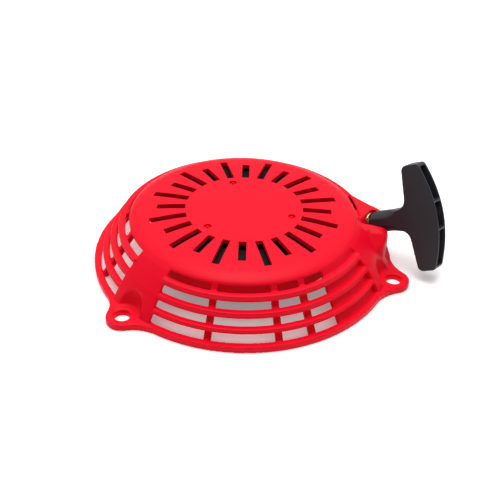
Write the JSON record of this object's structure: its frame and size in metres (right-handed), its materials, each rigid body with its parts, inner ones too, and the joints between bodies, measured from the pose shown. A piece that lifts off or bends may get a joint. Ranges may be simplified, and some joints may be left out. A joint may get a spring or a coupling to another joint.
{
  "type": "recoil starter",
  "caption": "Recoil starter with a slotted round case on three lugs, a rope reel with ratchets inside, and a T-grip resting against its rope outlet.",
  "frame": {"origin": "centre of the bounding box's footprint, on the plane of the mounting face", "axes": "+Z along the crank axis, away from the engine; +X from the case towards the grip; the crank axis stands at x -16.987 mm, y -4.778 mm"},
  "size_m": [0.224, 0.1996, 0.0702],
  "materials": {
    "case_plastic": "satin moulded red plastic",
    "reel_plastic": "moulded black nylon",
    "grip_plastic": "satin black moulding with a fine grain",
    "rope": "braided polyester",
    "brass": "polished, lightly worn",
    "zinc_steel": "bright zinc plate",
    "spring_steel": "oiled spring steel"
  },
  "bodies": {
    "case": {"starter_case": "case_plastic", "rope_eyelet": "brass", "post_insert": "brass", "thrust_washer": "zinc_steel", "centre_screw": "zinc_steel", "mainspring": "spring_steel", "rope_lead": "rope"},
    "reel": {"reel": "reel_plastic", "rope_winding": "rope", "rope_knot": "rope", "ratchet_spring_1": "spring_steel", "ratchet_spring_2": "spring_steel"},
    "guide": {"ratchet_guide": "reel_plastic", "friction_spring": "spring_steel"},
    "pawl_1": {"ratchet_1": "zinc_steel"},
    "pawl_2": {"ratchet_2": "zinc_steel"},
    "handle": {"grip": "grip_plastic", "grip_knot": "rope", "rope_tail": "rope"}
  },
  "joints": [
    {"name": "handle_pull", "type": "slide", "parent": "case", "child": "handle", "axis": [0.8291, -0.38, 0.4101], "range_m": [0, 1.2], "stiffness_N_per_m": 12, "springref_m": -0.5},
    {"name": "reel_spin", "type": "hinge", "parent": "case", "child": "reel", "pos_m": [-0.01699, -0.00478, 0.02], "axis": [0, 0, 1], "range_deg": [-1450, 0], "deforming": ["mainspring"]},
    {"name": "guide_lag", "type": "hinge", "parent": "reel", "child": "guide", "pos_m": [-0.01699, -0.00478, 0.009], "axis": [0, 0, 1], "range_deg": [0, 28], "stiffness_Nm_per_rad": 0.01},
    {"name": "ratchet_1_swing", "type": "hinge", "parent": "reel", "child": "pawl_1", "pos_m": [0.00601, -0.00478, 0.015], "axis": [0, 0, 1], "range_deg": [0, 28], "deforming": ["ratchet_spring_1"]},
    {"name": "ratchet_2_swing", "type": "hinge", "parent": "reel", "child": "pawl_2", "pos_m": [-0.03999, -0.00478, 0.015], "axis": [0, 0, 1], "range_deg": [0, 28], "deforming": ["ratchet_spring_2"]}
  ],
  "couplings": [
    {"joint": "reel_spin", "follows": "handle_pull", "rad_per_m": -21.05},
    {"joint": "ratchet_1_swing", "follows": "guide_lag", "ratio": 1},
    {"joint": "ratchet_2_swing", "follows": "guide_lag", "ratio": 1}
  ]
}
